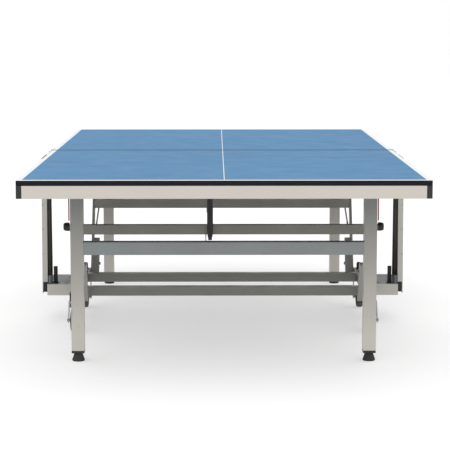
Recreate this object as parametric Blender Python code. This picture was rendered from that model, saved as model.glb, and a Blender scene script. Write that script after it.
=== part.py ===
"""Folding ping pong table: two hinged halves on a wheeled centre base."""

import math

import bmesh
import bpy
from mathutils import Matrix, Vector

# Playing surface, a standard size
TABLE_LENGTH = 2.74
TABLE_WIDTH = 1.525
TABLE_HEIGHT = 0.76
BOARD_THICK = 0.020
HALF_GAP = 0.002
APRON_DROP = 0.048
APRON_THICK = 0.020

# Fold geometry, given for the +Y half and mirrored for the -Y half
FOLD_Y = 0.050
FOLD_Z = 0.753
LEG_Y = 0.947
LEG_HINGE_Z = 0.700
STRUT_FOOT_Y = 0.330
STRUT_FOOT_Z = 0.145
STRUT_LENGTH = 0.6131
STRUT_LEAN = math.radians(25.16)
KNOB_Z = 0.535
STAY_LENGTH = 0.525
KNOB_LENGTH = 0.022
STAY_FALL = math.radians(20.8)

# Tubes and bars
LEG_SIZE = 0.050
LEG_X = 0.576
TUBE_WALL = 0.002
LEG_BAR_Z = 0.451
STRUT_BAR_SIZE = 0.040
STRUT_BAR_Y = 0.480
STRUT_BAR_Z = 0.464
STRUT_X0 = 0.6095
STRUT_THICK = 0.012
STRUT_WIDTH = 0.032
DOUBLER_X0 = 0.584
DOUBLER_LENGTH = 0.165
STRUT_BOLTS = ((0.386, 0.264), (0.352, 0.192))
BOLT_RADIUS = 0.007
STAY_X0 = 0.6025
STAY_THICK = 0.005

# Base
BASE_TUBE = 0.040
BASE_TUBE_Y = 0.190
BASE_Z0 = 0.133
BEAM_X0 = 0.6235
BEAM_X1 = 0.6635
BEAM_HALF = 0.350
TRAY_X1 = 0.7807
TRAY_HALF = 0.140
TRAY_LIP = 0.050
COLUMN_X0 = 0.781
COLUMN_X1 = 0.804
COLUMN_HALF = 0.118
COLUMN_TOP_SCALE = 0.84
COLUMN_Z0 = 0.180
COLUMN_Z1 = 0.732
COLUMN_WALL = 0.003
ARM_X = 0.7685
ARM_THICK = 0.005
STOP_X = 0.747
STOP_Y = 0.090
STOP_TOP = 0.2465
SLEEVE_X = 0.769
SLEEVE_Y = 0.122
SLEEVE_TOP = 0.210

# Castors
CASTOR_Y = 0.300
CASTOR_TRAIL = 0.050
WHEEL_RADIUS = 0.050
WHEEL_WIDTH = 0.028
FORK_HALF = 0.026

# Gas spring
SPRING_X = -0.055
SPRING_TOP_Y = 0.635
SPRING_TOP_Z = 0.705
SPRING_LOW_Y = 0.515
SPRING_LOW_Z = 0.432
SPRING_BODY = 0.220
SPRING_BORE = 0.005

ROD_LOW = 0.560
FOOT_HEIGHT = 0.033
PIN_RADIUS = 0.006
FIT = 0.0003
BITE = 0.001
EDGE = 0.0015
PLATE_EDGE = 0.0008


def material(name, color, rough, metal):
    """Return the named Principled material, made once."""
    mat = bpy.data.materials.get(name)
    if mat is None:
        mat = bpy.data.materials.new(name)
        mat.use_nodes = True
        shader = mat.node_tree.nodes["Principled BSDF"]
        shader.inputs["Base Color"].default_value = (*color, 1.0)
        shader.inputs["Roughness"].default_value = rough
        shader.inputs["Metallic"].default_value = metal
    return mat


def materials():
    """All of the table's finishes by name."""
    return {
        "blue": material("playing_surface", (0.13, 0.29, 0.50), 0.55, 0.0),
        "apron": material("apron_paint", (0.60, 0.57, 0.53), 0.45, 0.1),
        "steel": material("leg_paint", (0.36, 0.36, 0.34), 0.40, 0.4),
        "dark": material("base_paint", (0.10, 0.11, 0.12), 0.45, 0.3),
        "black": material("black_plastic", (0.02, 0.02, 0.02), 0.55, 0.0),
        "rubber": material("rubber_grey", (0.07, 0.06, 0.055), 0.75, 0.0),
        "zinc": material("bright_zinc", (0.55, 0.56, 0.58), 0.30, 1.0),
        "red": material("red_rod", (0.45, 0.06, 0.05), 0.40, 0.0),
    }


def add_box(bm, low, high):
    """Add an axis-aligned block between two corners."""
    made = bmesh.ops.create_cube(bm, size=1.0)["verts"]
    size = [h - l for l, h in zip(low, high)]
    mid = [(h + l) / 2 for l, h in zip(low, high)]
    bmesh.ops.scale(bm, vec=size, verts=made)
    bmesh.ops.translate(bm, vec=mid, verts=made)
    return made


def add_turned(bm, start, end, r0, r1, sides=20):
    """Add a cone or cylinder between two points."""
    start = Vector(start)
    end = Vector(end)
    way = end - start
    turn = way.to_track_quat("Z", "Y").to_matrix().to_4x4()
    place = Matrix.Translation((start + end) / 2) @ turn
    bmesh.ops.create_cone(bm, cap_ends=True, segments=sides, radius1=r0, radius2=r1,
                          depth=way.length, matrix=place)


def add_prism(bm, outline, shift, top_scale=None):
    """Extrude a closed outline by a shift; top_scale narrows its far end in Y."""
    near = [bm.verts.new(p) for p in outline]
    face = bm.faces.new(near)
    made = bmesh.ops.extrude_face_region(bm, geom=[face])["geom"]
    far = [v for v in made if isinstance(v, bmesh.types.BMVert)]
    bmesh.ops.translate(bm, vec=shift, verts=far)
    if top_scale is not None:
        bmesh.ops.scale(bm, vec=(1.0, top_scale, 1.0), verts=far)
    return near + far


def add_tube(bm, low, high, axis, wall=TUBE_WALL):
    """Add a square tube, open at both ends, running along an axis (0, 1 or 2)."""
    u, v = [i for i in range(3) if i != axis]
    rings = []
    for end in (low[axis], high[axis]):
        for inset in (0.0, wall):
            ring = []
            for a, b in ((low[u] + inset, low[v] + inset), (high[u] - inset, low[v] + inset),
                         (high[u] - inset, high[v] - inset), (low[u] + inset, high[v] - inset)):
                p = [0.0, 0.0, 0.0]
                p[axis], p[u], p[v] = end, a, b
                ring.append(bm.verts.new(p))
            rings.append(ring)
    for i, j in ((0, 1), (1, 3), (3, 2), (2, 0)):
        for k in range(4):
            m = (k + 1) % 4
            bm.faces.new((rings[i][k], rings[i][m], rings[j][m], rings[j][k]))


def stadium(start, end, radius, x, steps=8):
    """Outline in the YZ plane at x of a bar with round ends between two (y, z) points."""
    a = Vector(start)
    b = Vector(end)
    heading = math.atan2(b.y - a.y, b.x - a.x)
    points = []
    for centre, base in ((b, heading - math.pi / 2), (a, heading + math.pi / 2)):
        for i in range(steps + 1):
            t = base + math.pi * i / steps
            points.append((x, centre.x + radius * math.cos(t), centre.y + radius * math.sin(t)))
    return points


def last_island(bm):
    """Split a bmesh's last loose piece off as its own bmesh, or return None for one piece."""
    bm.verts.ensure_lookup_table()
    found = {bm.verts[-1]}
    queue = [bm.verts[-1]]
    while queue:
        for edge in queue.pop().link_edges:
            for vert in edge.verts:
                if vert not in found:
                    found.add(vert)
                    queue.append(vert)
    if len(found) == len(bm.verts):
        return None
    other = bm.copy()
    other.verts.ensure_lookup_table()
    inside = {v.index for v in found}
    bmesh.ops.delete(other, geom=[v for v in other.verts if v.index not in inside], context="VERTS")
    bmesh.ops.delete(bm, geom=list(found), context="VERTS")
    return other


def helper(name, bm):
    """Make a hidden wire object for a Boolean from a bmesh."""
    mesh = bpy.data.meshes.new(name)
    bm.to_mesh(mesh)
    bm.free()
    obj = bpy.data.objects.new(name, mesh)
    bpy.context.scene.collection.objects.link(obj)
    obj.hide_render = True
    obj.display_type = "WIRE"
    return obj


def boolean(obj, other, operation):
    """Join or cut an object with a hidden helper, by the exact solver."""
    mod = obj.modifiers.new(operation.lower(), "BOOLEAN")
    mod.operation = operation
    mod.solver = "EXACT"
    mod.use_self = operation == "UNION"
    mod.object = other


def finish(name, bm, mat, pivot=(0.0, 0.0, 0.0), bevel=0.0, smooth=False):
    """Turn a bmesh into one solid object, its pieces united, with its origin on its pivot."""
    bmesh.ops.recalc_face_normals(bm, faces=bm.faces)
    bm.verts.index_update()
    other = last_island(bm)
    bmesh.ops.translate(bm, vec=-Vector(pivot), verts=bm.verts)
    mesh = bpy.data.meshes.new(name)
    bm.to_mesh(mesh)
    bm.free()
    mesh.materials.append(mat)
    obj = bpy.data.objects.new(name, mesh)
    obj.location = pivot
    bpy.context.scene.collection.objects.link(obj)
    if other is not None:
        boolean(obj, helper("joined_" + name, other), "UNION")
    if bevel:
        mod = obj.modifiers.new("edge", "BEVEL")
        mod.width = bevel
        mod.segments = 2
        mod.limit_method = "ANGLE"
        mod.angle_limit = math.radians(50)
    if smooth:
        mesh.shade_smooth()
        mesh.set_sharp_from_angle(angle=math.radians(35))
    return obj


def cut(obj, bm, name):
    """Cut a bmesh's shape out of an object."""
    bmesh.ops.recalc_face_normals(bm, faces=bm.faces)
    boolean(obj, helper(name, bm), "DIFFERENCE")


def span(a, b):
    """Lowest and highest of two values."""
    return (a, b) if a < b else (b, a)


def side_box(bm, sx, sy, xs, ys, zs):
    """Add a block given for the +X, +Y corner, mirrored by the signs."""
    x0, x1 = span(sx * xs[0], sx * xs[1])
    y0, y1 = span(sy * ys[0], sy * ys[1])
    add_box(bm, (x0, y0, zs[0]), (x1, y1, zs[1]))


def base_frame(mats):
    """Two cross tubes and two side beams of the wheeled base."""
    top = BASE_Z0 + BASE_TUBE
    for tag, sy in (("near", -1), ("far", 1)):
        bm = bmesh.new()
        y0, y1 = BASE_TUBE_Y - BASE_TUBE / 2, BASE_TUBE_Y + BASE_TUBE / 2
        lo, hi = span(sy * y0, sy * y1)
        add_tube(bm, (-BEAM_X0 + FIT, lo, BASE_Z0), (BEAM_X0 - FIT, hi, top), 0)
        finish("base_cross_" + tag, bm, mats["dark"])
    for tag, sx in (("left", -1), ("right", 1)):
        bm = bmesh.new()
        x0, x1 = span(sx * BEAM_X0, sx * BEAM_X1)
        add_tube(bm, (x0, -BEAM_HALF, BASE_Z0), (x1, BEAM_HALF, top), 1)
        for sy in (-1, 1):
            y = sy * STRUT_FOOT_Y
            add_turned(bm, (sx * (BEAM_X0 + BITE), y, STRUT_FOOT_Z),
                       (sx * (STRUT_X0 + BITE), y, STRUT_FOOT_Z), PIN_RADIUS, PIN_RADIUS, 16)
        finish("base_beam_" + tag, bm, mats["dark"])


def side_trays(mats):
    """A shallow tray outboard of each beam, with a lip at its ends."""
    top = BASE_Z0 + BASE_TUBE
    for tag, sx in (("left", -1), ("right", 1)):
        bm = bmesh.new()
        x0, x1 = BEAM_X1 + FIT, TRAY_X1
        bottom = top - TRAY_LIP
        outline = [(sx * x0, -TRAY_HALF, bottom), (sx * x0, -TRAY_HALF, top), (sx * x0, TRAY_HALF, top),
                   (sx * x0, TRAY_HALF, bottom), (sx * x0, TRAY_HALF - 0.003, bottom),
                   (sx * x0, TRAY_HALF - 0.003, top - 0.003), (sx * x0, -TRAY_HALF + 0.003, top - 0.003),
                   (sx * x0, -TRAY_HALF + 0.003, bottom)]
        add_prism(bm, outline, (sx * (x1 - x0), 0, 0))
        add_turned(bm, (sx * SLEEVE_X, -SLEEVE_Y, top - BITE), (sx * SLEEVE_X, -SLEEVE_Y, SLEEVE_TOP),
                   0.0075, 0.0075, 16)
        finish("side_tray_" + tag, bm, mats["apron"])


def columns(mats):
    """Side columns: an E-shaped channel that both guide shoes run in."""
    w = COLUMN_WALL
    h = COLUMN_HALF
    for tag, sx in (("left", -1), ("right", 1)):
        bm = bmesh.new()
        a, b, c = sx * COLUMN_X0, sx * COLUMN_X1, sx * (COLUMN_X1 - w)
        flat = [(b, -h), (b, h), (a, h), (a, h - w), (c, h - w), (c, w), (a, w), (a, -w),
                (c, -w), (c, -h + w), (a, -h + w), (a, -h)]
        add_prism(bm, [(x, y, COLUMN_Z0) for x, y in flat], (0, 0, COLUMN_Z1 - COLUMN_Z0),
                  COLUMN_TOP_SCALE)
        side_box(bm, sx, 1, (COLUMN_X1 - w, COLUMN_X1), (-h, h), (0.130, COLUMN_Z0 + BITE))
        finish("column_" + tag, bm, mats["apron"])
        bm = bmesh.new()
        side_box(bm, sx, 1, (COLUMN_X0, COLUMN_X1 - w - FIT), (-h, h), (0.135, COLUMN_Z0 - FIT))
        top = BASE_Z0 + BASE_TUBE + FIT
        side_box(bm, sx, 1, (STOP_X - 0.014, COLUMN_X0 + 0.003), (-STOP_Y - 0.014, -STOP_Y + 0.014),
                 (top, top + 0.002))
        add_turned(bm, (sx * STOP_X, -STOP_Y, top), (sx * STOP_X, -STOP_Y, STOP_TOP), 0.009, 0.009, 20)
        finish("bumpers_" + tag, bm, mats["black"], smooth=True)


def half(tag, sy, mats):
    """One playing half: board, aprons, pivot plates and under-rails."""
    end = TABLE_LENGTH / 2
    edge = TABLE_WIDTH / 2
    low = TABLE_HEIGHT - BOARD_THICK
    pivot = (0.0, sy * FOLD_Y, FOLD_Z)
    inner = edge - APRON_THICK
    bm = bmesh.new()
    side_box(bm, 1, sy, (-edge, edge), (HALF_GAP, end), (low, TABLE_HEIGHT))
    finish("board_" + tag, bm, mats["blue"], pivot, bevel=EDGE)
    bm = bmesh.new()
    drop = low - APRON_DROP
    side_box(bm, 1, sy, (-inner + FIT, inner - FIT), (end - APRON_THICK, end), (drop, low - FIT))
    finish("apron_end_" + tag, bm, mats["apron"], pivot, bevel=EDGE)
    for name, sx in (("left", -1), ("right", 1)):
        bm = bmesh.new()
        side_box(bm, sx, sy, (inner, edge), (HALF_GAP, end), (drop, low - FIT))
        pivot_plate(bm, sx, sy)
        obj = finish("apron_" + name + "_" + tag, bm, mats["apron"], pivot, bevel=PLATE_EDGE)
        pivot_hole(name + "_" + tag, sx, sy, obj)
        under_rail(name + "_" + tag, sx, sy, mats, pivot)


def pivot_plate(bm, sx, sy):
    """Add the plate on the apron's side that hangs on the guide shoe's pin."""
    edge = TABLE_WIDTH / 2
    side_box(bm, sx, sy, (edge + FIT, edge + 0.0045), (0.022, 0.150), (0.705, 0.7595))
    side_box(bm, sx, sy, (edge - 0.002, edge + 0.002), (0.030, 0.140), (0.710, 0.735))


def pivot_hole(tag, sx, sy, apron):
    """Bore the pivot plate for the guide shoe's pin."""
    edge = TABLE_WIDTH / 2
    y = sy * FOLD_Y
    hole = bmesh.new()
    add_turned(hole, (sx * (edge - 0.01), y, FOLD_Z), (sx * (edge + 0.01), y, FOLD_Z), 0.0045, 0.0045, 16)
    cut(apron, hole, "hole_pivot_" + tag)


def under_rail(tag, sx, sy, mats, pivot):
    """Slotted strut rail and the leg's hinge bracket, under the board."""
    top = TABLE_HEIGHT - BOARD_THICK - FIT
    bm = bmesh.new()
    x0 = STRUT_X0 + STRUT_THICK + 0.0035
    side_box(bm, sx, sy, (x0, x0 + 0.004), (0.400, 0.640), (0.682, top))
    leg_out = LEG_X + LEG_SIZE / 2
    leg_in = LEG_X - LEG_SIZE / 2
    wide = leg_in - 0.0045
    side_box(bm, sx, sy, (wide, leg_out + 0.0015), (0.610, LEG_Y + 0.03), (top - 0.003, top))
    side_box(bm, sx, sy, (wide, x0 + 0.002), (0.608, 0.637), (top - 0.0031, top - BITE))
    for a, b in ((wide, leg_in - 0.0015), (leg_out + 0.001, leg_out + 0.0022)):
        side_box(bm, sx, sy, (a, b), (LEG_Y - 0.03, LEG_Y + 0.03), (0.686, top - BITE))
    add_turned(bm, (sx * (leg_in - 0.0025), sy * LEG_Y, LEG_HINGE_Z),
               (sx * (leg_out + 0.0018), sy * LEG_Y, LEG_HINGE_Z), PIN_RADIUS, PIN_RADIUS, 16)
    obj = finish("under_rail_" + tag, bm, mats["steel"], pivot)
    slot = bmesh.new()
    outline = stadium((sy * 0.425, LEG_HINGE_Z), (sy * 0.605, LEG_HINGE_Z), 0.008, sx * (x0 - 0.003), 6)
    add_prism(slot, outline, (sx * 0.010, 0, 0))
    cut(obj, slot, "slot_" + tag)


def shoes(tag, sy, mats):
    """Guide shoes in the side columns, each with a cranked arm that carries the half's pivot pin."""
    y = sy * FOLD_Y
    edge = TABLE_WIDTH / 2
    for name, sx in (("left", -1), ("right", 1)):
        bm = bmesh.new()
        side_box(bm, sx, sy, (COLUMN_X0 + 0.0015, COLUMN_X1 - COLUMN_WALL - 0.001), (0.012, 0.084),
                 (0.650, 0.728))
        side_box(bm, sx, sy, (ARM_X + ARM_THICK - BITE, COLUMN_X0 + 0.0025), (0.036, 0.064), (0.690, 0.724))
        side_box(bm, sx, sy, (ARM_X, ARM_X + ARM_THICK), (0.034, 0.066), (0.688, 0.7585))
        add_turned(bm, (sx * (edge + 0.0008), y, FOLD_Z), (sx * (ARM_X + BITE), y, FOLD_Z),
                   0.004, 0.004, 16)
        finish("shoe_" + name + "_" + tag, bm, mats["black"], (0, y, FOLD_Z))


def leg_frame(tag, sy, mats):
    """Two square legs with sockets, their cross bar and the screw feet."""
    pivot = (0.0, sy * LEG_Y, LEG_HINGE_Z)
    r = LEG_SIZE / 2
    for name, sx in (("left", -1), ("right", 1)):
        bm = bmesh.new()
        x = sx * LEG_X
        y = sy * LEG_Y
        socket_top = 0.043
        add_tube(bm, (x - r, y - r, socket_top - BITE), (x + r, y + r, 0.725), 2)
        add_box(bm, (x - r, y - r, FOOT_HEIGHT + 0.0005), (x + r, y + r, socket_top))
        obj = finish("leg_" + name + "_" + tag, bm, mats["steel"], pivot)
        hole = bmesh.new()
        add_turned(hole, (x - 0.04, y, LEG_HINGE_Z), (x + 0.04, y, LEG_HINGE_Z), 0.0065, 0.0065, 16)
        cut(obj, hole, "hole_leg_" + name + "_" + tag)
        bore = bmesh.new()
        add_turned(bore, (x, y, 0.02), (x, y, 0.06), 0.018, 0.018, 24)
        cut(obj, bore, "bore_leg_" + name + "_" + tag)
        foot(name + "_" + tag, x, y, mats)
    bm = bmesh.new()
    reach = LEG_X - r - FIT
    add_tube(bm, (-reach, sy * LEG_Y - r, LEG_BAR_Z - r), (reach, sy * LEG_Y + r, LEG_BAR_Z + r), 0)
    finish("leg_bar_" + tag, bm, mats["steel"], pivot)


def foot(tag, x, y, mats):
    """Ribbed conical screw foot."""
    ribs = 18
    bm = bmesh.new()
    rings = []
    for z, r in ((0.0, 0.0240), (0.004, 0.0255), (FOOT_HEIGHT, 0.0155), (FOOT_HEIGHT + 0.0085, 0.0150)):
        ring = []
        for i in range(ribs * 2):
            t = math.pi * i / ribs
            rib = 0.0009 if i % 2 and z < FOOT_HEIGHT + 0.004 else 0.0
            ring.append(bm.verts.new((x + (r - rib) * math.cos(t), y + (r - rib) * math.sin(t), z)))
        rings.append(ring)
    for a, b in zip(rings, rings[1:]):
        for i in range(len(a)):
            j = (i + 1) % len(a)
            bm.faces.new((a[i], a[j], b[j], b[i]))
    bm.faces.new(list(reversed(rings[0])))
    bm.faces.new(rings[-1])
    finish("foot_" + tag, bm, mats["black"], (x, y, 0.0))


def strut_frame(tag, sy, mats):
    """Slanted flat struts and the cross bar that joins them."""
    pivot = (0.0, sy * STRUT_FOOT_Y, STRUT_FOOT_Z)
    tip_y = STRUT_FOOT_Y + STRUT_LENGTH * math.sin(STRUT_LEAN)
    tip_z = STRUT_FOOT_Z + STRUT_LENGTH * math.cos(STRUT_LEAN)
    for name, sx in (("left", -1), ("right", 1)):
        bm = bmesh.new()
        outline = stadium((sy * STRUT_FOOT_Y, STRUT_FOOT_Z), (sy * tip_y, tip_z), STRUT_WIDTH / 2,
                          sx * STRUT_X0, 6)
        add_prism(bm, outline, (sx * STRUT_THICK, 0, 0))
        doubler_y = STRUT_FOOT_Y + DOUBLER_LENGTH * math.sin(STRUT_LEAN)
        doubler_z = STRUT_FOOT_Z + DOUBLER_LENGTH * math.cos(STRUT_LEAN)
        outline = stadium((sy * STRUT_FOOT_Y, STRUT_FOOT_Z), (sy * doubler_y, doubler_z),
                          STRUT_WIDTH / 2 - BITE, sx * DOUBLER_X0, 6)
        add_prism(bm, outline, (sx * (STRUT_X0 + BITE - DOUBLER_X0), 0, 0))
        pin0 = STRUT_X0 + STRUT_THICK - BITE
        add_turned(bm, (sx * pin0, sy * tip_y, tip_z), (sx * (pin0 + 0.0035), sy * tip_y, tip_z),
                   PIN_RADIUS, PIN_RADIUS, 16)
        for y, z in STRUT_BOLTS:
            add_turned(bm, (sx * (DOUBLER_X0 + BITE), sy * y, z), (sx * (DOUBLER_X0 - 0.006), sy * y, z),
                       BOLT_RADIUS, BOLT_RADIUS, 12)
        obj = finish("strut_" + name + "_" + tag, bm, mats["steel"], pivot)
        hole = bmesh.new()
        add_turned(hole, (sx * (STRUT_X0 - 0.005), sy * STRUT_FOOT_Y, STRUT_FOOT_Z),
                   (sx * (STRUT_X0 + 0.025), sy * STRUT_FOOT_Y, STRUT_FOOT_Z), 0.0066, 0.0066, 16)
        cut(obj, hole, "hole_strut_" + name + "_" + tag)
    bm = bmesh.new()
    r = STRUT_BAR_SIZE / 2
    reach = STRUT_X0 - FIT
    y = sy * STRUT_BAR_Y
    add_tube(bm, (-reach, y - r, STRUT_BAR_Z - r), (reach, y + r, STRUT_BAR_Z + r), 0)
    side_box(bm, 1, sy, (SPRING_X - 0.020, SPRING_X - 0.016), (STRUT_BAR_Y, SPRING_LOW_Y + 0.012),
             (SPRING_LOW_Z - 0.012, STRUT_BAR_Z - r + BITE))
    finish("strut_bar_" + tag, bm, mats["dark"], pivot)


def stays(tag, sy, mats):
    """Locking stay on each leg, with a hand knob on its pivot."""
    pivot = (0.0, sy * LEG_Y, KNOB_Z)
    end_y = LEG_Y - STAY_LENGTH * math.cos(STAY_FALL)
    end_z = KNOB_Z - STAY_LENGTH * math.sin(STAY_FALL)
    for name, sx in (("left", -1), ("right", 1)):
        bm = bmesh.new()
        outline = stadium((sy * end_y, end_z), (sy * LEG_Y, KNOB_Z), 0.010, sx * STAY_X0, 6)
        add_prism(bm, outline, (sx * STAY_THICK, 0, 0))
        knob0 = STAY_X0 + STAY_THICK - BITE
        add_turned(bm, (sx * knob0, sy * LEG_Y, KNOB_Z), (sx * (knob0 + KNOB_LENGTH), sy * LEG_Y, KNOB_Z),
                   0.016, 0.013, 12)
        leg_out = LEG_X + LEG_SIZE / 2 + FIT
        add_turned(bm, (sx * leg_out, sy * LEG_Y, KNOB_Z), (sx * (STAY_X0 + BITE), sy * LEG_Y, KNOB_Z),
                   0.008, 0.008, 12)
        finish("stay_" + name + "_" + tag, bm, mats["steel"], pivot)


def release_rods(sy, mats):
    """Thin red pull rod with a bent top on each near leg's outer face."""
    for name, sx in (("left", -1), ("right", 1)):
        bm = bmesh.new()
        x = sx * (LEG_X + LEG_SIZE / 2 + 0.0055)
        y = sy * (LEG_Y + 0.012)
        add_turned(bm, (x, y, ROD_LOW), (x, y, 0.682), 0.0025, 0.0025, 10)
        add_turned(bm, (x - sx * 0.0025, y, 0.682), (x + sx * 0.012, y, 0.682), 0.0025, 0.0025, 10)
        finish("release_rod_" + name, bm, mats["red"], (x, y, ROD_LOW))


def castors(mats):
    """Four trailing castors, each a fork on a swivel and a wheel in it."""
    for side, sx in (("left", -1), ("right", 1)):
        for tag, sy in (("near", -1), ("far", 1)):
            x = sx * (BEAM_X0 + BEAM_X1) / 2
            y = sy * CASTOR_Y
            axle_y = y - CASTOR_TRAIL
            fork(side + "_" + tag, x, y, axle_y, mats)
            wheel(side + "_" + tag, x, axle_y, mats)
            if sy == -1:
                brake(side, x, axle_y, mats)


def fork(tag, x, y, axle_y, mats):
    """Castor fork: a top plate and two cheeks with the axle's bolt ends."""
    bm = bmesh.new()
    top = BASE_Z0 - 0.005
    cheek = 0.0025
    add_box(bm, (x - FORK_HALF, y - 0.030, top - 0.006), (x + FORK_HALF, y + 0.026, top))
    add_turned(bm, (x, y, top - BITE), (x, y, BASE_Z0 - FIT), 0.016, 0.016, 20)
    axle = FORK_HALF - cheek / 2
    add_turned(bm, (x - axle, axle_y, WHEEL_RADIUS), (x + axle, axle_y, WHEEL_RADIUS), 0.0052, 0.0052, 16)
    for s in (-1, 1):
        a = x + s * FORK_HALF
        b = x + s * (FORK_HALF - cheek)
        outline = [(a, y + 0.020, top - 0.003), (a, y - 0.028, top - 0.003),
                   (a, axle_y - 0.013, WHEEL_RADIUS - 0.002), (a, axle_y, WHEEL_RADIUS - 0.013),
                   (a, axle_y + 0.014, WHEEL_RADIUS - 0.004)]
        add_prism(bm, outline, (b - a, 0, 0))
        add_turned(bm, (a - s * BITE, axle_y, WHEEL_RADIUS), (a + s * 0.005, axle_y, WHEEL_RADIUS),
                   0.007, 0.007, 6)
    finish("fork_" + tag, bm, mats["zinc"], (x, y, BASE_Z0))


def wheel(tag, x, axle_y, mats):
    """Castor wheel: a turned tyre and hub with a bored centre."""
    half_w = WHEEL_WIDTH / 2
    profile = [(0.006, -half_w - 0.004), (0.014, -half_w - 0.004), (0.015, -half_w + 0.004),
               (0.036, -half_w + 0.004), (0.038, -half_w), (0.046, -half_w), (0.050, -half_w + 0.005),
               (0.050, half_w - 0.005), (0.046, half_w), (0.038, half_w), (0.036, half_w - 0.004),
               (0.015, half_w - 0.004), (0.014, half_w + 0.004), (0.006, half_w + 0.004)]
    bm = bmesh.new()
    steps = 36
    rings = []
    for i in range(steps):
        t = 2 * math.pi * i / steps
        rings.append([bm.verts.new((x + w, axle_y + r * math.cos(t), WHEEL_RADIUS + r * math.sin(t)))
                      for r, w in profile])
    for i in range(steps):
        a, b = rings[i], rings[(i + 1) % steps]
        for k in range(len(profile)):
            m = (k + 1) % len(profile)
            bm.faces.new((a[k], a[m], b[m], b[k]))
    finish("wheel_" + tag, bm, mats["rubber"], (x, axle_y, WHEEL_RADIUS), smooth=True)


def brake(side, x, axle_y, mats):
    """Foot lever behind a near castor's fork."""
    bm = bmesh.new()
    y = axle_y + CASTOR_TRAIL - 0.0350
    z = 0.118
    add_turned(bm, (x - 0.020, y, z), (x + 0.020, y, z), 0.004, 0.004, 12)
    outline = [(x - 0.018, y - 0.002, z + 0.002), (x - 0.018, y - 0.002, z - 0.002),
               (x - 0.018, y - 0.034, z - 0.010), (x - 0.018, y - 0.036, z - 0.006)]
    add_prism(bm, outline, (0.036, 0, 0))
    finish("brake_" + side, bm, mats["zinc"], (x, y, z))


def gas_spring(mats):
    """Gas spring from the near strut bar up to the near half's board."""
    top = Vector((SPRING_X, -SPRING_TOP_Y, SPRING_TOP_Z))
    low = Vector((SPRING_X, -SPRING_LOW_Y, SPRING_LOW_Z))
    reach = (top - low).length
    way = (top - low).normalized()
    turn = way.to_track_quat("Z", "Y")
    steps = 24
    bm = bmesh.new()
    rings = []
    for r, d in ((0.0100, 0.005), (0.0125, 0.030), (0.0125, SPRING_BODY), (SPRING_BORE, SPRING_BODY),
                 (SPRING_BORE, 0.045)):
        ring = []
        for i in range(steps):
            t = 2 * math.pi * i / steps
            ring.append(bm.verts.new(low + turn @ Vector((r * math.cos(t), r * math.sin(t), d))))
        rings.append(ring)
    for a, b in zip(rings, rings[1:]):
        for i in range(steps):
            j = (i + 1) % steps
            bm.faces.new((a[i], a[j], b[j], b[i]))
    bm.faces.new(rings[0])
    bm.faces.new(rings[-1])
    side = Vector((0.008, 0, 0))
    add_turned(bm, low - side, low + side, 0.010, 0.010, 16)
    finish("spring_cylinder", bm, mats["black"], low, smooth=True)
    bm = bmesh.new()
    add_turned(bm, low + way * 0.050, low + way * (reach - 0.004), 0.004, 0.004, 12)
    add_turned(bm, top - side, top + side, 0.008, 0.008, 16)
    finish("spring_rod", bm, mats["zinc"], top, smooth=True)


def build():
    """Clear the scene and make every part of the table."""
    for obj in list(bpy.data.objects):
        bpy.data.objects.remove(obj, do_unlink=True)
    mats = materials()
    base_frame(mats)
    side_trays(mats)
    columns(mats)
    castors(mats)
    for tag, sy in (("a", -1), ("b", 1)):
        half(tag, sy, mats)
        shoes(tag, sy, mats)
        leg_frame(tag, sy, mats)
        strut_frame(tag, sy, mats)
        stays(tag, sy, mats)
    release_rods(-1, mats)
    gas_spring(mats)


build()
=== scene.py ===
"""Looks, lights and camera for the folding ping pong table."""
import math

import bmesh
import bpy
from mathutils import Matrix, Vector


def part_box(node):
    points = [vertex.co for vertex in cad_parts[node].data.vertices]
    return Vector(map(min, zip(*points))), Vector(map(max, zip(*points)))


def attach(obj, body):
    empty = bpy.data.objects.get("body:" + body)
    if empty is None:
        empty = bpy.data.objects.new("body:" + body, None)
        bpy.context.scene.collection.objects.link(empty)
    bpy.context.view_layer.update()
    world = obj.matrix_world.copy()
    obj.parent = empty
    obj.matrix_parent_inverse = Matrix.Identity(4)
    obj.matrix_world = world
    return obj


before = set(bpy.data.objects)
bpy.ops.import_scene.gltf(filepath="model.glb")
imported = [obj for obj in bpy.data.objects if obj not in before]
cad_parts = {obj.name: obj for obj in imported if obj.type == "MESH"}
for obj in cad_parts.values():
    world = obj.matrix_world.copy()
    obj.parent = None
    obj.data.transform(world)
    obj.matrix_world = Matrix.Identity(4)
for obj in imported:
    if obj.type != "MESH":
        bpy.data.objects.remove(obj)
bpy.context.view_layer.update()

# Camera, worked out from the table's own perspective
CAMERA_AT = (-0.034, -7.26, 1.349)
CAMERA_PITCH = math.radians(7.29)
CAMERA_YAW = math.radians(-0.354)
CAMERA_LENS = 129.6
SENSOR = 36.0

# Playing surface marks
LINE = 0.020
CENTRE_LINE = 0.003
SURFACE_Z = 0.7590
EDGE_X = 0.7625
END_Y = 1.370
JOINT_TRIM = 0.014

# Where a finish changes on the aprons' caps, the legs' sockets, the columns' channels and the trays' tops
CAP_Y = 1.3515
APRON_FACE = 0.0001
SOCKET_TOP = 0.0435
COLUMN_HALF = 0.1165
COLUMN_Z0 = 0.180
COLUMN_TAPER = 0.16 / 0.552
COLUMN_BACK = 0.8025
TRAY_TOP_Y = 0.1397

# Column screws, in rows that follow the column as it narrows upward
SCREW_X = 0.7995
SCREW_Y = 0.118
SCREW_HEIGHTS = (0.305, 0.415, 0.525, 0.635)
SCREW_RADIUS = 0.0032
SCREW_HEIGHT = 0.0014

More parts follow.
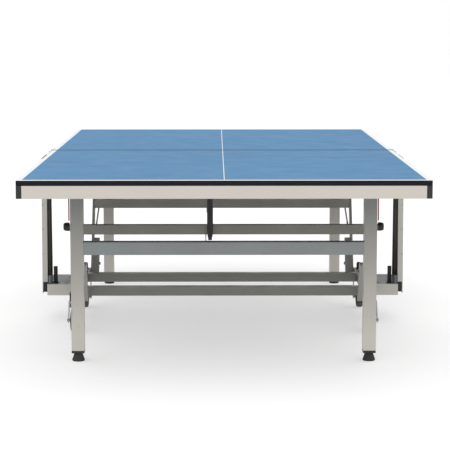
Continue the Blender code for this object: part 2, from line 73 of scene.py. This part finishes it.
# Tray bolts and castor nuts, the nuts as radius and distance up from the beam, and how far heads sink in
BASE_BEAM_X = 0.6435
BASE_CASTOR_Y = 0.300
TRAY_BOLT_X = 0.700
TRAY_BOLT_Y = 0.085
TRAY_BOLT_RADIUS = 0.007
TRAY_BOLT_HEIGHT = 0.003
CASTOR_NUT = ((0.014, 0), (0.014, 0.004), (0.010, 0.006), (0.010, 0.028), (0.006, 0.033))
SINK = 0.0005

# Stays, their knobs and sleeves
STAY_X = 0.605
STAY_FALL = math.radians(20.8)
STAY_Y = 0.947
STAY_Z = 0.535
KNOB_START = 0.0225
KNOB = ((0.0165, 0), (0.0175, 0.004), (0.0170, 0.014), (0.0145, 0.0205), (0.0090, 0.0233))
KNOB_FLUTES = 8
FLUTE_DEPTH = 0.0012
FLUTE_RADIUS = 0.017
SLEEVE_START = 0.470
SLEEVE = ((0.0120, 0), (0.0150, 0.006), (0.0150, 0.036), (0.0120, 0.042))
SLEEVE_FLATTEN = 0.235

# Gas spring's lug under the near board: size and middle of its plate and its two cheeks
SPRING_X = -0.055
SPRING_Y = -0.635
LUG_PLATE = (0.050, 0.060, 0.003)
LUG_PLATE_Z = 0.7380
LUG_CHEEK = (0.003, 0.026, 0.042)
LUG_CHEEK_Z = 0.7160
LUG_CHEEK_OFF = 0.0120

# Height over which painted shade darkens the legs' coat towards the board, standing in for the board's
# shadow
LEG_PAINTED_SHADE = (0.10, 0.62)

# Studio: floor, and each light's name, place, size and power
FLOOR_SIZE = 60
FLOOR_GLOW = 0.50
LIGHTS = (("key", (-2.2, -3.6, 5.2), 4.0, 26), ("fill", (3.4, -4.0, 3.4), 4.0, 14),
          ("top", (0.0, 0.6, 5.0), 5.0, 30))
LIGHT_AIM = (0, 0, 0.4)


def srgb(r, g, b):
    """Linear colour from 0 to 255 display values."""
    def one(v):
        v = v / 255
        return v / 12.92 if v <= 0.04045 else ((v + 0.055) / 1.055) ** 2.4
    return (one(r), one(g), one(b), 1.0)


class Nodes:
    """A material's node tree with short calls for the nodes used here."""

    def __init__(self, name):
        self.mat = bpy.data.materials.new(name)
        self.mat.use_nodes = True
        self.tree = self.mat.node_tree
        self.shader = self.tree.nodes["Principled BSDF"]
        self.place = self.tree.nodes.new("ShaderNodeTexCoord").outputs["Object"]
        split = self.tree.nodes.new("ShaderNodeSeparateXYZ")
        self.link(self.place, split.inputs[0])
        self.x, self.y, self.z = split.outputs

    def link(self, a, b):
        self.tree.links.new(a, b)

    def math(self, op, a, b=0.0):
        node = self.tree.nodes.new("ShaderNodeMath")
        node.operation = op
        for i, v in enumerate((a, b)):
            if isinstance(v, (int, float)):
                node.inputs[i].default_value = v
            else:
                self.link(v, node.inputs[i])
        return node.outputs[0]

    def noise(self, scale, detail=3.0, rough=0.55, stretch=None):
        node = self.tree.nodes.new("ShaderNodeTexNoise")
        node.inputs["Scale"].default_value = scale
        node.inputs["Detail"].default_value = detail
        node.inputs["Roughness"].default_value = rough
        source = self.place
        if stretch:
            mapping = self.tree.nodes.new("ShaderNodeMapping")
            mapping.inputs["Scale"].default_value = stretch
            self.link(source, mapping.inputs["Vector"])
            source = mapping.outputs[0]
        self.link(source, node.inputs["Vector"])
        return node.outputs["Fac"]

    def spread(self, value, low, high, to_low, to_high):
        node = self.tree.nodes.new("ShaderNodeMapRange")
        self.link(value, node.inputs["Value"])
        for i, v in enumerate((low, high, to_low, to_high)):
            node.inputs[i + 1].default_value = v
        return node.outputs[0]

    def mix(self, fac, a, b, blend="MIX"):
        node = self.tree.nodes.new("ShaderNodeMix")
        node.data_type = "RGBA"
        node.blend_type = blend
        if isinstance(fac, float):
            node.inputs[0].default_value = fac
        else:
            self.link(fac, node.inputs[0])
        for socket, v in ((node.inputs[6], a), (node.inputs[7], b)):
            if isinstance(v, tuple):
                socket.default_value = v
            else:
                self.link(v, socket)
        return node.outputs[2]

    def shade(self, colour, amount, scale):
        """Vary a colour's brightness softly over the surface."""
        value = self.spread(self.noise(scale), 0.3, 0.7, 1.0 - amount, 1.0 + amount)
        return self.mix(1.0, colour, self.grey(value), "MULTIPLY")

    def grey(self, value):
        node = self.tree.nodes.new("ShaderNodeCombineColor")
        for i in range(3):
            self.link(value, node.inputs[i])
        return node.outputs[0]

    def finish(self, colour, rough, rough_change, bump_source, bump, distance=0.0005):
        self.link(colour, self.shader.inputs["Base Color"])
        varied = self.spread(self.noise(9.0), 0.3, 0.7, rough - rough_change, rough + rough_change)
        self.link(varied, self.shader.inputs["Roughness"])
        node = self.tree.nodes.new("ShaderNodeBump")
        node.inputs["Strength"].default_value = bump
        node.inputs["Distance"].default_value = distance
        self.link(bump_source, node.inputs["Height"])
        self.link(node.outputs[0], self.shader.inputs["Normal"])
        return self.mat


def edge_wear(m, colour, worn, amount):
    """Lighten a finish in small rubbed patches."""
    spots = m.spread(m.noise(38.0, 6.0, 0.7), 0.62, 0.72, 0.0, amount)
    return m.mix(spots, colour, worn)


def board_material():
    """Matt blue board with white lines and a black edge."""
    m = Nodes("playing_board")
    m.shader.inputs["Specular IOR Level"].default_value = 0.12
    blue = m.shade(srgb(72, 126, 168), 0.035, 1.6)
    blue = m.mix(m.spread(m.noise(420.0, 2.0), 0.35, 0.65, 0.0, 0.06), blue, srgb(136, 168, 194))
    ax = m.math("ABSOLUTE", m.x)
    ay = m.math("ABSOLUTE", m.y)
    side = m.math("GREATER_THAN", ax, EDGE_X - LINE)
    end = m.math("GREATER_THAN", ay, END_Y - LINE)
    middle = m.math("LESS_THAN", ax, CENTRE_LINE / 2)
    white = m.math("MAXIMUM", m.math("MAXIMUM", side, end), middle)
    paint = m.mix(white, blue, m.shade(srgb(226, 230, 233), 0.03, 6.0))
    trim = m.math("GREATER_THAN", ay, JOINT_TRIM)
    top = m.math("MULTIPLY", m.math("GREATER_THAN", m.z, SURFACE_Z), trim)
    colour = m.mix(top, m.shade(srgb(26, 26, 27), 0.10, 14.0), paint)
    return m.finish(colour, 0.60, 0.06, m.noise(900.0, 2.0), 0.12, 0.0003)


def apron_material():
    """Warm off-white powder coat, with black end caps."""
    m = Nodes("apron_coat")
    coat = edge_wear(m, m.shade(srgb(197, 191, 183), 0.02, 3.0), srgb(184, 178, 170), 0.2)
    cap = m.math("GREATER_THAN", m.math("ABSOLUTE", m.y), CAP_Y)
    beside = m.math("GREATER_THAN", m.math("ABSOLUTE", m.x), EDGE_X - LINE - APRON_FACE)
    cap = m.math("MULTIPLY", cap, beside)
    colour = m.mix(cap, coat, m.shade(srgb(24, 24, 24), 0.15, 30.0))
    return m.finish(colour, 0.42, 0.07, m.noise(650.0, 2.0), 0.10, 0.0003)


def column_material():
    """Light column coat outside, dark in the guide channels."""
    m = Nodes("column_coat")
    coat = edge_wear(m, m.shade(srgb(186, 184, 176), 0.03, 4.0), srgb(160, 156, 148), 0.25)
    drop = m.math("MULTIPLY", m.math("SUBTRACT", m.z, COLUMN_Z0), COLUMN_TAPER)
    reach = m.math("MULTIPLY", m.math("SUBTRACT", 1.0, drop), COLUMN_HALF)
    inside = m.math("LESS_THAN", m.math("ABSOLUTE", m.y), reach)
    inner = m.math("LESS_THAN", m.math("ABSOLUTE", m.x), COLUMN_BACK)
    inside = m.math("MULTIPLY", inside, inner)
    colour = m.mix(inside, coat, m.shade(srgb(92, 87, 81), 0.12, 12.0))
    return m.finish(colour, 0.45, 0.08, m.noise(500.0, 2.0), 0.12, 0.0003)


def tray_material():
    """Tray with a light lip and a dark top."""
    m = Nodes("tray_coat")
    coat = edge_wear(m, m.shade(srgb(188, 186, 178), 0.03, 5.0), srgb(150, 146, 138), 0.3)
    top = m.math("LESS_THAN", m.math("ABSOLUTE", m.y), TRAY_TOP_Y)
    colour = m.mix(top, coat, m.shade(srgb(92, 97, 102), 0.12, 16.0))
    return m.finish(colour, 0.40, 0.08, m.noise(500.0, 2.0), 0.12, 0.0003)


def leg_material():
    """Silver-grey satin coat, with painted shade darkening it towards the board, and a black socket at the
    leg's foot.
    """
    m = Nodes("leg_coat_painted_shade")
    # Painted shade: the coat runs from light at the foot to dark near the board, standing in for the
    # board's shadow
    painted_shade_rise = m.spread(m.z, *LEG_PAINTED_SHADE, 0.0, 1.0)
    coat = m.shade(m.mix(painted_shade_rise, srgb(190, 187, 178), srgb(128, 128, 126)), 0.03, 4.0)
    coat = edge_wear(m, coat, srgb(140, 138, 132), 0.25)
    scuffs = m.spread(m.noise(10.0, 6.0, 0.7, (6.0, 6.0, 0.8)), 0.62, 0.70, 0.0, 0.22)
    coat = m.mix(scuffs, coat, srgb(120, 116, 110))
    socket = m.math("LESS_THAN", m.z, SOCKET_TOP)
    colour = m.mix(socket, coat, m.shade(srgb(42, 41, 40), 0.15, 40.0))
    m.shader.inputs["Metallic"].default_value = 0.25
    return m.finish(colour, 0.36, 0.07, m.noise(700.0, 2.0), 0.10, 0.0003)


def coat_material(name, colour, worn, metal, rough):
    """A painted or plated metal with soft variation and rubbed spots."""
    m = Nodes(name)
    m.shader.inputs["Metallic"].default_value = metal
    made = edge_wear(m, m.shade(colour, 0.05, 8.0), worn, 0.45)
    return m.finish(made, rough, 0.06, m.noise(600.0, 2.0), 0.12, 0.0003)


def brushed_material(name, colour, rough):
    """Plated steel with fine brushing."""
    m = Nodes(name)
    m.shader.inputs["Metallic"].default_value = 1.0
    lines = m.noise(220.0, 4.0, 0.6, (1.0, 1.0, 14.0))
    made = m.mix(m.spread(lines, 0.3, 0.7, 0.0, 0.4), colour, srgb(120, 118, 114))
    return m.finish(made, rough, 0.08, lines, 0.10, 0.0003)


def plastic_material(name, colour, dust, rough):
    """Moulded plastic or rubber with a fine grain and a little dust."""
    m = Nodes(name)
    m.shader.inputs["Specular IOR Level"].default_value = 0.4
    haze = m.spread(m.noise(26.0, 5.0, 0.65), 0.45, 0.75, 0.0, 0.35)
    made = m.mix(haze, m.shade(colour, 0.12, 20.0), dust)
    return m.finish(made, rough, 0.06, m.noise(1100.0, 3.0), 0.22, 0.0004)


def make_materials():
    """Every finish by name."""
    return {
        "board": board_material(),
        "apron": apron_material(),
        "column": column_material(),
        "tray": tray_material(),
        "leg": leg_material(),
        "strut": coat_material("strut_coat", srgb(146, 145, 139), srgb(110, 108, 104), 0.25, 0.38),
        "bar": coat_material("bar_coat", srgb(128, 126, 119), srgb(98, 96, 92), 0.3, 0.38),
        "base": coat_material("base_coat", srgb(125, 125, 120), srgb(94, 93, 89), 0.3, 0.38),
        "leg_bar": coat_material("leg_bar_coat", srgb(132, 137, 137), srgb(100, 102, 101), 0.3, 0.38),
        "nylon": plastic_material("guide_nylon_grain", srgb(176, 175, 170), srgb(150, 146, 138), 0.45),
        "plastic": plastic_material("black_plastic_grain", srgb(24, 24, 24), srgb(52, 51, 50), 0.50),
        "foot": plastic_material("foot_rubber_grain", srgb(40, 39, 38), srgb(78, 75, 70), 0.62),
        "wheel": plastic_material("wheel_rubber_grain", srgb(72, 62, 52), srgb(104, 94, 82), 0.62),
        "zinc": brushed_material("zinc_plate", srgb(170, 171, 172), 0.32),
        "red": coat_material("red_coat", srgb(150, 52, 44), srgb(96, 50, 46), 0.1, 0.40),
    }


FINISHES = (
    ("board_", "board"), ("apron_", "apron"), ("column_", "column"), ("side_tray_", "tray"),
    ("leg_bar_", "leg_bar"), ("leg_", "leg"), ("under_rail_", "strut"), ("strut_bar_", "bar"),
    ("strut_", "strut"), ("stay_", "strut"), ("base_", "base"), ("bumpers_", "plastic"), ("shoe_", "nylon"),
    ("foot_", "foot"), ("fork_", "zinc"), ("brake_", "zinc"), ("wheel_", "wheel"),
    ("release_rod_", "red"), ("spring_cylinder", "plastic"), ("spring_rod", "zinc"),
)


def finish_frame(mats):
    """Give every CAD node its finish."""
    for name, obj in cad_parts.items():
        key = next(k for prefix, k in FINISHES if name.startswith(prefix))
        obj.data.materials.clear()
        obj.data.materials.append(mats[key])


def piece(name, bm, mat, body, smooth=True):
    """Make a piece from a bmesh and let it ride on a body."""
    bmesh.ops.recalc_face_normals(bm, faces=bm.faces)
    mesh = bpy.data.meshes.new(name)
    bm.to_mesh(mesh)
    bm.free()
    mesh.materials.append(mat)
    obj = bpy.data.objects.new(name, mesh)
    bpy.context.scene.collection.objects.link(obj)
    if smooth:
        mesh.shade_smooth()
        mesh.set_sharp_from_angle(angle=math.radians(35))
    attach(obj, body)
    return obj


def turned(bm, at, axis, profile, sides=24):
    """Add a closed turned shape: (radius, distance) pairs along an axis from a point."""
    turn = Vector(axis).to_track_quat("Z", "Y")
    rings = []
    for r, d in profile:
        ring = []
        for i in range(sides):
            t = 2 * math.pi * i / sides
            ring.append(bm.verts.new(Vector(at) + turn @ Vector((r * math.cos(t), r * math.sin(t), d))))
        rings.append(ring)
    for a, b in zip(rings, rings[1:]):
        for i in range(sides):
            j = (i + 1) % sides
            bm.faces.new((a[i], a[j], b[j], b[i]))
    bm.faces.new(rings[0])
    bm.faces.new(rings[-1])


def screw(bm, at, axis, radius, height):
    """Add a pan-head screw."""
    profile = [(radius, -SINK)]
    for i in range(5):
        t = math.pi / 2 * i / 5
        profile.append((radius * math.cos(t), height * math.sin(t)))
    turned(bm, at, axis, profile, 20)


def column_screws(mats):
    """Small screws up the outer edge of each column's faces."""
    for side, sx in (("left", -1), ("right", 1)):
        bm = bmesh.new()
        for sy in (-1, 1):
            for z in SCREW_HEIGHTS:
                y = SCREW_Y * (1 - COLUMN_TAPER * (z - COLUMN_Z0))
                screw(bm, (sx * SCREW_X, sy * y, z), (0, sy, 0), SCREW_RADIUS, SCREW_HEIGHT)
        piece("column_screws_" + side, bm, mats["zinc"], "base")


def base_bolts(mats):
    """Bolts on the trays and the castor nuts over the beams."""
    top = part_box("base_beam_left")[1][2]
    for side, sx in (("left", -1), ("right", 1)):
        bm = bmesh.new()
        for y in (-TRAY_BOLT_Y, TRAY_BOLT_Y):
            screw(bm, (sx * TRAY_BOLT_X, y, top), (0, 0, 1), TRAY_BOLT_RADIUS, TRAY_BOLT_HEIGHT)
        piece("tray_bolts_" + side, bm, mats["zinc"], "base")
        bm = bmesh.new()
        for sy in (-1, 1):
            turned(bm, (sx * BASE_BEAM_X, sy * BASE_CASTOR_Y, top - SINK), (0, 0, 1), CASTOR_NUT, 20)
        piece("castor_nuts_" + side, bm, mats["plastic"], "base")


def knobs(mats):
    """Black fluted hand knob over each stay's pivot."""
    for tag in ("a", "b"):
        for side, sx in (("left", -1), ("right", 1)):
            node = "stay_" + side + "_" + tag
            low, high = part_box(node)
            outer = max(abs(low[0]), abs(high[0]))
            sy = -1 if tag == "a" else 1
            bm = bmesh.new()
            turned(bm, (sx * (outer - KNOB_START), sy * STAY_Y, STAY_Z), (sx, 0, 0), KNOB, 24)
            for v in bm.verts:
                away = Vector((v.co.y - sy * STAY_Y, v.co.z - STAY_Z))
                turn = math.atan2(away.y, away.x)
                grow = 1 - FLUTE_DEPTH / FLUTE_RADIUS * (0.5 + 0.5 * math.cos(KNOB_FLUTES * turn))
                v.co.y = sy * STAY_Y + away.x * grow
                v.co.z = STAY_Z + away.y * grow
            piece("knob_" + side + "_" + tag, bm, mats["plastic"], node)


def stay_sleeves(mats):
    """Flat black rubber sleeve near each stay's lower end."""
    for tag, sy in (("a", -1), ("b", 1)):
        for side, sx in (("left", -1), ("right", 1)):
            bm = bmesh.new()
            way = Vector((0, -sy * math.cos(STAY_FALL), -math.sin(STAY_FALL)))
            start = Vector((sx * STAY_X, sy * STAY_Y, STAY_Z)) + way * SLEEVE_START
            turned(bm, start, way, SLEEVE, 20)
            for v in bm.verts:
                v.co.x = sx * STAY_X + (v.co.x - sx * STAY_X) * SLEEVE_FLATTEN
            piece("stay_sleeve_" + side + "_" + tag, bm, mats["plastic"], "stay_%s_%s" % (side, tag))


def spring_lug(mats):
    """Lug under the near board that holds the gas spring's top eye."""
    bm = bmesh.new()
    for size, x, z in ((LUG_PLATE, SPRING_X, LUG_PLATE_Z),
                       (LUG_CHEEK, SPRING_X - LUG_CHEEK_OFF, LUG_CHEEK_Z),
                       (LUG_CHEEK, SPRING_X + LUG_CHEEK_OFF, LUG_CHEEK_Z)):
        made = bmesh.ops.create_cube(bm, size=1.0)["verts"]
        bmesh.ops.scale(bm, vec=size, verts=made)
        bmesh.ops.translate(bm, vec=(x, SPRING_Y, z), verts=made)
    piece("spring_lug", bm, mats["zinc"], "half_a", smooth=False)


def floor_and_lights():
    """A plain pale floor with soft studio light."""
    bpy.ops.mesh.primitive_plane_add(size=FLOOR_SIZE, location=(0, 0, 0))
    floor = bpy.context.object
    floor.name = "studio_floor"
    m = Nodes("studio_floor_paint")
    m.shader.inputs["Emission Color"].default_value = (1.0, 1.0, 1.0, 1.0)
    m.shader.inputs["Emission Strength"].default_value = FLOOR_GLOW
    m.finish(m.shade(srgb(192, 192, 192), 0.004, 0.6), 0.9, 0.02, m.noise(4.0), 0.02)
    floor.data.materials.append(m.mat)
    for name, at, size, power in LIGHTS:
        data = bpy.data.lights.new(name, "AREA")
        data.shape = "SQUARE"
        data.size = size
        data.energy = power
        light = bpy.data.objects.new(name, data)
        light.location = at
        way = Vector(LIGHT_AIM) - Vector(at)
        light.rotation_euler = way.to_track_quat("-Z", "Y").to_euler()
        bpy.context.scene.collection.objects.link(light)
    world = bpy.data.worlds.new("studio")
    world.use_nodes = True
    background = world.node_tree.nodes["Background"]
    background.inputs["Color"].default_value = (1.0, 1.0, 1.0, 1.0)
    background.inputs["Strength"].default_value = 1.0
    bpy.context.scene.world = world


def camera():
    """Camera at the front, a little above the table."""
    data = bpy.data.cameras.new("camera")
    data.lens = CAMERA_LENS
    data.sensor_width = SENSOR
    cam = bpy.data.objects.new("camera", data)
    cam.location = CAMERA_AT
    cam.rotation_euler = (math.pi / 2 - CAMERA_PITCH, 0, CAMERA_YAW)
    bpy.context.scene.collection.objects.link(cam)
    bpy.context.scene.camera = cam


camera()
floor_and_lights()
MATS = make_materials()
finish_frame(MATS)
column_screws(MATS)
base_bolts(MATS)
knobs(MATS)
stay_sleeves(MATS)
spring_lug(MATS)
bpy.context.scene.view_settings.view_transform = "Standard"
